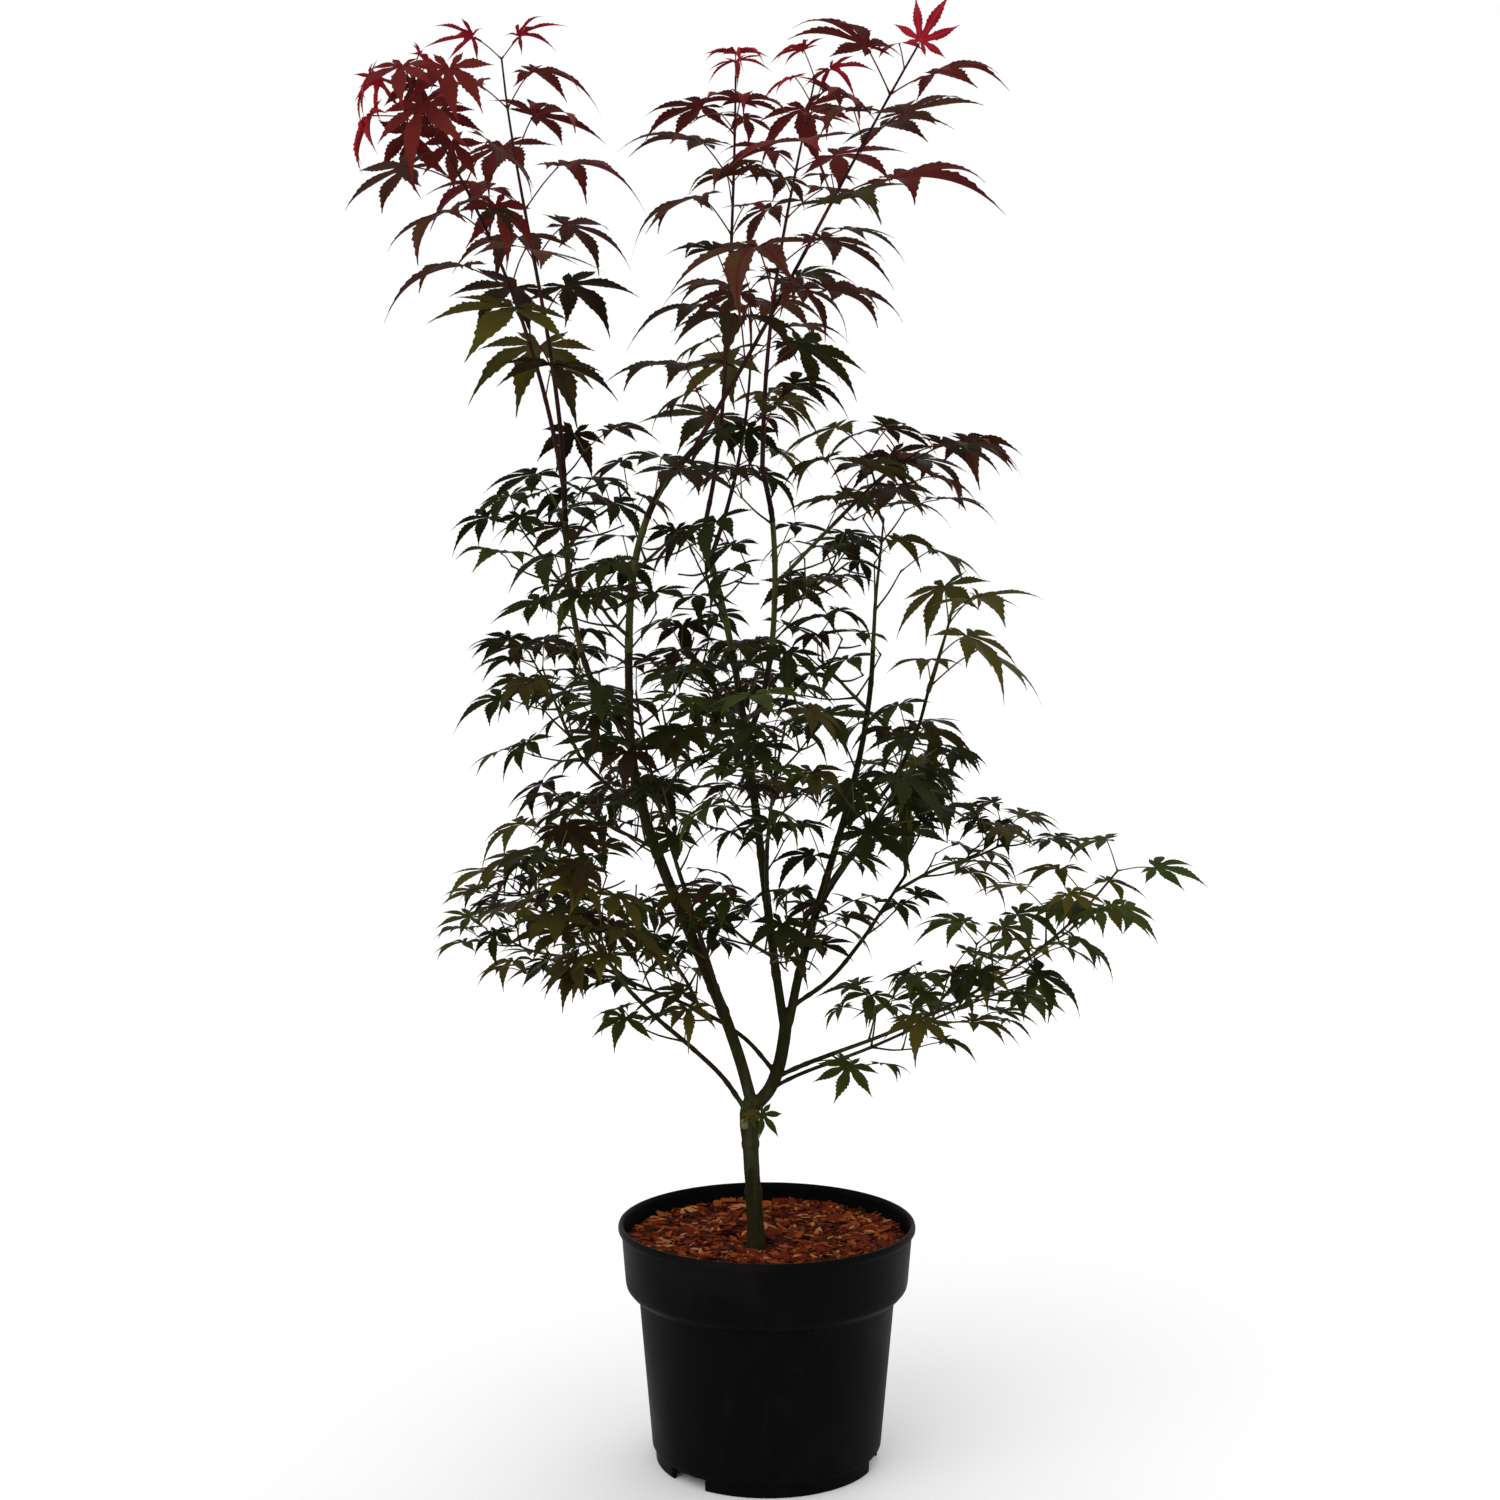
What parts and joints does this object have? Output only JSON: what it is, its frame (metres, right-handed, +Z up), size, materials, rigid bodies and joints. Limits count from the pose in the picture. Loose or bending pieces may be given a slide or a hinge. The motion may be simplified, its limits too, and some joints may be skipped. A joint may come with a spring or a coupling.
{
  "type": "potted japanese maple",
  "caption": "Young multi-stemmed Japanese maple with crimson shoot tips and dark green and purple palmate leaves, standing in a black nursery pot topped with bark mulch.",
  "frame": {"origin": "middle of the pot's flat underside, on the ground the pot stands on", "axes": "+Z up; +X to the right and +Y away from the viewer in front of the plant, so the long low bough reaches towards +X"},
  "size_m": [0.7459, 0.6427, 1.3477],
  "materials": {
    "pot_plastic": "matte black, slightly dusty",
    "compost": "loose and damp",
    "bark_chips": "loose red-brown chips",
    "old_bark": "olive green with pale patches and scar rings",
    "young_bark": "smooth dark stems, green below and purple above",
    "foliage_crimson": "soft leaves, crimson towards the tips",
    "foliage_maroon": "soft dark red leaves",
    "foliage_bronze": "soft bronze green leaves",
    "foliage_green": "soft green leaves",
    "foliage_dark": "soft very dark green leaves"
  },
  "bodies": {
    "root": {"pot": "pot_plastic", "compost": "compost", "bark_mulch": "bark_chips", "trunk": "old_bark", "left_stem": "young_bark", "left_stem_top": "young_bark", "right_stem": "young_bark", "centre_stem": "young_bark", "rear_right_stem": "young_bark", "middle_stem": "young_bark", "left_shoot_stem": "young_bark", "front_left_stem": "young_bark", "low_left_front": "young_bark", "low_left_rear": "young_bark", "left_fan": "young_bark", "right_fan": "young_bark", "right_arch": "young_bark", "low_right_front": "young_bark", "low_right_rear": "young_bark", "inner_right": "young_bark", "front_bough": "young_bark", "rear_bough": "young_bark", "rear_left": "young_bark", "rear_right": "young_bark", "front_right": "young_bark", "tall_left_shoot": "foliage_crimson", "tall_left_rear_shoot": "foliage_crimson", "top_centre_shoot": "foliage_crimson", "top_rear_shoot": "foliage_maroon", "top_back_shoot": "foliage_crimson", "top_right_shoot": "foliage_crimson", "right_crest": "foliage_bronze", "inner_right_tip": "foliage_maroon", "right_fan_tip": "foliage_bronze", "low_right_front_tip": "foliage_green", "low_right_rear_tip": "foliage_green", "right_arch_rise": "foliage_bronze", "right_arch_reach": "foliage_bronze", "low_left_front_tip": "foliage_bronze", "low_left_rear_tip": "foliage_green", "low_left_rear_rise": "foliage_bronze", "left_fan_tip": "foliage_dark", "left_side_low": "foliage_dark", "left_side_high": "foliage_dark", "upper_left_front": "foliage_dark", "upper_left_back": "foliage_dark", "left_side": "foliage_dark", "front_left_tip": "foliage_dark", "front_tip": "foliage_dark", "front_right_tip": "foliage_dark", "rear_tip": "foliage_dark", "rear_left_tip": "foliage_dark", "rear_right_tip": "foliage_dark", "centre_front": "foliage_dark", "centre_back": "foliage_dark", "middle_side": "foliage_dark", "right_side": "foliage_dark", "inner_low": "foliage_dark", "low_left_inner": "foliage_green", "centre_low": "foliage_dark"}
  },
  "joints": []
}
